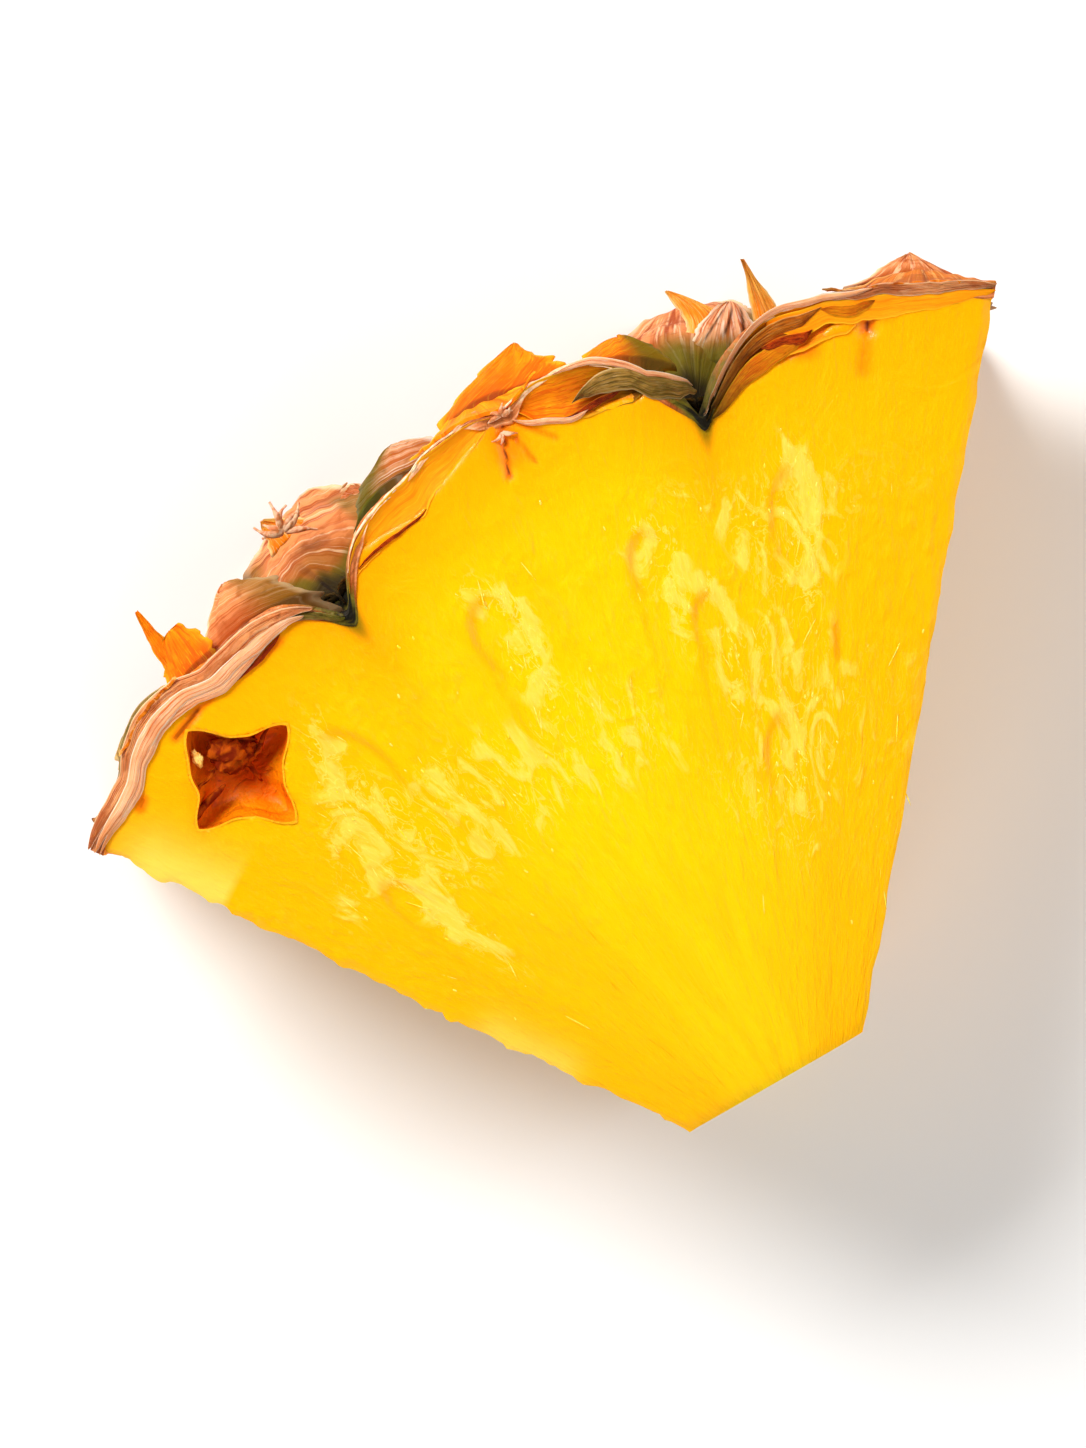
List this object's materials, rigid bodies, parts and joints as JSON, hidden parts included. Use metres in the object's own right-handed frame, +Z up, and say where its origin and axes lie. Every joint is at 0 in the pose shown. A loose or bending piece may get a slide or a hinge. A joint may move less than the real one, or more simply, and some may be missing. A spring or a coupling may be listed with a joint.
{
  "type": "pineapple wedge",
  "caption": "Thick pineapple wedge with its rind on, one round-cut face up, with dry leaf tips on the rind and an opened flower cup by the edge.",
  "frame": {"origin": "on the resting face, on the bisector of the wedge, 36 mm from the fruit's axis", "axes": "+Z up out of the shown round-cut face, along the fruit's axis; +Y along the bisector out through the rind; +X across the wedge"},
  "size_m": [0.0724, 0.0531, 0.024],
  "materials": {
    "flesh": "wet cut fruit flesh, slightly translucent",
    "rind": "dry papery scales, pink brown with olive creases",
    "leaf_tip": "dry orange leaf tips with fine veins",
    "flower_cup": "dried brown remains in the opened flower cup"
  },
  "bodies": {
    "root": {"pineapple_chunk": "flesh"}
  },
  "joints": []
}
